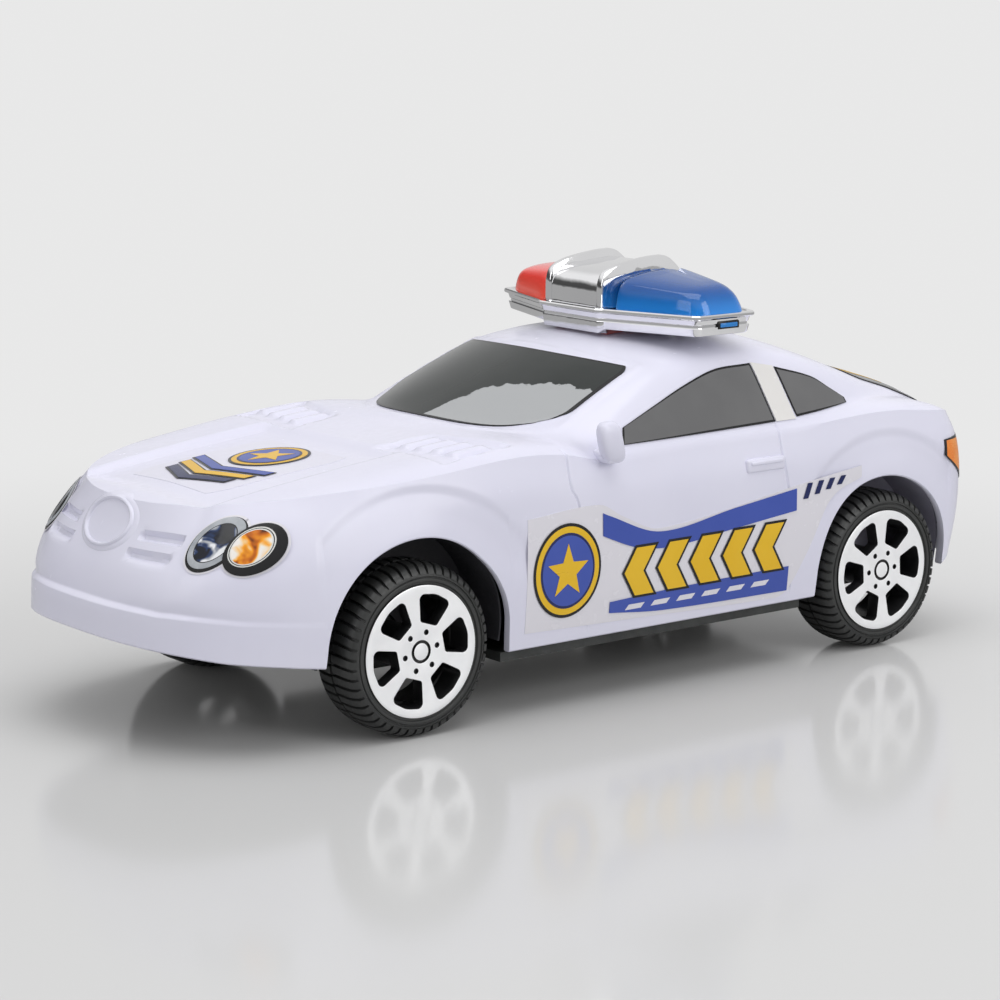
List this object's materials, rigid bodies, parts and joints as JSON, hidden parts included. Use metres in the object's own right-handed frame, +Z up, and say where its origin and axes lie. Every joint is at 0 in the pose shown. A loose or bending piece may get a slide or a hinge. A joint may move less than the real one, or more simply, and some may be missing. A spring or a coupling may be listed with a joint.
{
  "type": "toy police car",
  "caption": "Toy police coupe with a one-piece shell, stickers and a red and blue roof light bar, rolling on press-fitted wheels with a friction flywheel drive.",
  "frame": {"origin": "on the floor under the middle of the car's box", "axes": "+X to the nose, +Y to the car's left, +Z up"},
  "size_m": [0.2189, 0.0914, 0.0892],
  "materials": {
    "white_shell": "gloss moulded",
    "black_chassis": "satin moulded",
    "grey_case": "moulded",
    "steel": "drawn",
    "dark_steel": "turned",
    "chrome_plate": "chrome plated plastic",
    "red_lens": "clear moulded",
    "blue_lens": "clear moulded",
    "white_gear": "moulded",
    "silver_rim": "hot-stamped silver",
    "black_tyre": "soft moulded",
    "dark_sticker": "printed film",
    "grey_sticker": "printed film",
    "print_sticker": "printed film",
    "lamp_sticker": "printed film",
    "amber_sticker": "printed film"
  },
  "bodies": {
    "car": {"body_shell": "white_shell", "chassis": "black_chassis", "motor_case_left": "grey_case", "motor_case_right": "grey_case", "motor_plate": "grey_case", "idler_pin": "steel", "light_bar_base": "chrome_plate", "light_bar_cover": "chrome_plate", "light_bar_foot": "red_lens", "red_dome": "red_lens", "blue_dome": "blue_lens", "shell_screws": "steel", "motor_screws": "steel", "bar_screws": "steel", "windscreen_sticker": "dark_sticker", "bonnet_sticker": "print_sticker", "rear_window_sticker": "dark_sticker", "door_window_sticker_left": "grey_sticker", "door_window_sticker_right": "grey_sticker", "quarter_window_sticker_left": "grey_sticker", "quarter_window_sticker_right": "grey_sticker", "livery_sticker_left": "print_sticker", "livery_sticker_right": "print_sticker", "headlight_sticker_left": "lamp_sticker", "headlight_sticker_right": "lamp_sticker", "tail_lamp_sticker_left": "amber_sticker", "tail_lamp_sticker_right": "amber_sticker"},
    "front_wheels": {"front_axle": "steel", "rim_front_left": "silver_rim", "rim_front_right": "silver_rim", "tyre_front_left": "black_tyre", "tyre_front_right": "black_tyre"},
    "rear_wheels": {"rear_axle": "steel", "rim_rear_left": "silver_rim", "rim_rear_right": "silver_rim", "tyre_rear_left": "black_tyre", "tyre_rear_right": "black_tyre", "axle_gear": "white_gear"},
    "idler": {"idler_gear": "white_gear"},
    "flywheel": {"flywheel_shaft": "steel", "flywheel": "dark_steel"}
  },
  "joints": [
    {"name": "front_axle_spin", "type": "hinge", "parent": "car", "child": "front_wheels", "pos_m": [0.0545, 0, 0.01795], "axis": [0, 1, 0], "continuous": true},
    {"name": "rear_axle_spin", "type": "hinge", "parent": "car", "child": "rear_wheels", "pos_m": [-0.0755, 0, 0.01795], "axis": [0, 1, 0], "continuous": true},
    {"name": "idler_spin", "type": "hinge", "parent": "car", "child": "idler", "pos_m": [-0.06854, 0, 0.02283], "axis": [0, 1, 0], "continuous": true},
    {"name": "flywheel_spin", "type": "hinge", "parent": "car", "child": "flywheel", "pos_m": [-0.0619, 0, 0.02747], "axis": [0, 1, 0], "continuous": true}
  ],
  "couplings": [
    {"joint": "idler_spin", "follows": "rear_axle_spin", "ratio": -2.5},
    {"joint": "flywheel_spin", "follows": "rear_axle_spin", "ratio": 7.5}
  ]
}
